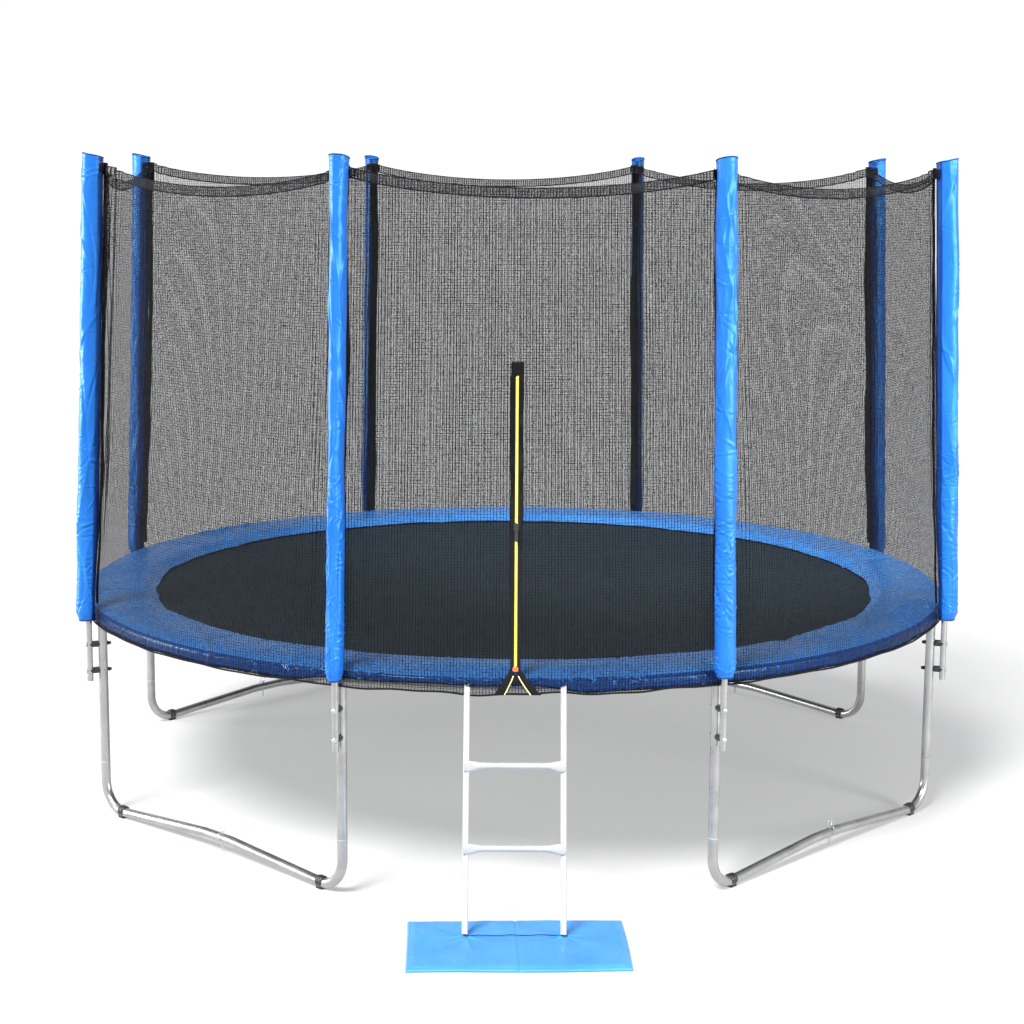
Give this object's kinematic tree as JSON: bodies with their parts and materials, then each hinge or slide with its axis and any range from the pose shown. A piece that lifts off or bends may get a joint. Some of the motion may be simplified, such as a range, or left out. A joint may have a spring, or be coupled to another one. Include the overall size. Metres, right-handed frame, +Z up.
{
  "type": "backyard trampoline",
  "caption": "Round garden trampoline with a sprung bed, spring pad, bolted poles, zip-door safety net, hook-on ladder and foot mat.",
  "frame": {"origin": "on the ground under the middle of the bed", "axes": "+Z up, -Y towards the ladder and the door in the net, +X to the right seen from the ladder"},
  "size_m": [3.712, 4.304, 2.6851],
  "materials": {
    "galvanised_steel": "satin zinc coat",
    "zinc_hardware": "bright zinc plate",
    "spring_steel": "zinc plated wire",
    "white_ladder_steel": "pale zinc paint",
    "black_plastic": "moulded, matte",
    "black_steel": "black coated wire",
    "mat_weave": "woven polypropylene",
    "blue_pvc": "PVC coated cloth, slight sheen",
    "light_blue_pvc": "PVC coated cloth, slight sheen",
    "grey_foam": "closed cell foam",
    "net_mesh": "knitted polyethylene mesh",
    "black_webbing": "woven webbing",
    "zip_yellow": "moulded zip coil",
    "zip_red": "moulded end piece"
  },
  "bodies": {
    "frame": {"top_rail_1": "galvanised_steel", "leg_post_1": "galvanised_steel", "leg_base_1": "galvanised_steel", "top_rail_2": "galvanised_steel", "leg_post_2": "galvanised_steel", "leg_base_2": "galvanised_steel", "top_rail_3": "galvanised_steel", "leg_post_3": "galvanised_steel", "leg_base_3": "galvanised_steel", "top_rail_4": "galvanised_steel", "leg_post_4": "galvanised_steel", "leg_base_4": "galvanised_steel", "top_rail_5": "galvanised_steel", "leg_post_5": "galvanised_steel", "leg_base_5": "galvanised_steel", "top_rail_6": "galvanised_steel", "leg_post_6": "galvanised_steel", "leg_base_6": "galvanised_steel", "top_rail_7": "galvanised_steel", "leg_post_7": "galvanised_steel", "leg_base_7": "galvanised_steel", "top_rail_8": "galvanised_steel", "leg_post_8": "galvanised_steel", "leg_base_8": "galvanised_steel", "foot_caps": "black_plastic", "pole_lowers": "galvanised_steel", "pole_uppers": "galvanised_steel", "pole_caps": "black_plastic", "pole_foam": "grey_foam", "pole_sleeves": "blue_pvc", "pole_spacers": "black_plastic", "pole_bolts": "zinc_hardware", "pole_nuts": "black_plastic", "springs": "spring_steel", "spring_pad": "blue_pvc", "net_panels": "net_mesh", "net_top_band": "black_webbing", "net_skirt": "net_mesh", "door_flaps": "black_webbing", "net_ties": "black_webbing", "pole_straps": "black_webbing", "zip_tape": "black_webbing", "zip_coil": "zip_yellow", "zip_stop": "zip_red", "foot_mat": "light_blue_pvc"},
    "bed": {"jump_mat": "mat_weave", "v_rings": "spring_steel"},
    "ladder": {"ladder_lower_rails": "white_ladder_steel", "ladder_upper_rails": "white_ladder_steel", "ladder_hooks": "white_ladder_steel", "ladder_rungs": "white_ladder_steel", "ladder_bolts": "zinc_hardware"},
    "zip_runner": {"zip_slider": "black_plastic"},
    "zip_tab": {"zip_pull": "black_plastic"},
    "hitch_pin_1": {"leg_pin_1": "zinc_hardware"},
    "hitch_pin_2": {"leg_pin_2": "zinc_hardware"},
    "hitch_pin_3": {"leg_pin_3": "zinc_hardware"},
    "hitch_pin_4": {"leg_pin_4": "zinc_hardware"}
  },
  "joints": [
    {"name": "bed_bounce", "type": "slide", "parent": "frame", "child": "bed", "axis": [0, 0, 1], "range_m": [-0.35, 0], "stiffness_N_per_m": 4500, "deforming": ["springs"]},
    {"name": "ladder_swing", "type": "hinge", "parent": "frame", "child": "ladder", "pos_m": [-0.05596, -1.82113, 0.825], "axis": [-0.9995, 0.0307, 0], "range_deg": [0, 60]},
    {"name": "zip_travel", "type": "slide", "parent": "frame", "child": "zip_runner", "axis": [0.0034, 0.1116, 0.9937], "range_m": [-0.47, 0.5]},
    {"name": "zip_tab_swing", "type": "hinge", "parent": "zip_runner", "child": "zip_tab", "pos_m": [-0.05559, -1.80914, 1.39429], "axis": [-0.9995, 0.0307, 0], "range_deg": [0, 110]},
    {"name": "pin_pull_1", "type": "slide", "parent": "frame", "child": "hitch_pin_1", "axis": [0, 0, 1], "range_m": [0, 0.075]},
    {"name": "pin_pull_2", "type": "slide", "parent": "frame", "child": "hitch_pin_2", "axis": [0, 0, 1], "range_m": [0, 0.075]},
    {"name": "pin_pull_3", "type": "slide", "parent": "frame", "child": "hitch_pin_3", "axis": [0, 0, 1], "range_m": [0, 0.075]},
    {"name": "pin_pull_4", "type": "slide", "parent": "frame", "child": "hitch_pin_4", "axis": [0, 0, 1], "range_m": [0, 0.075]}
  ]
}
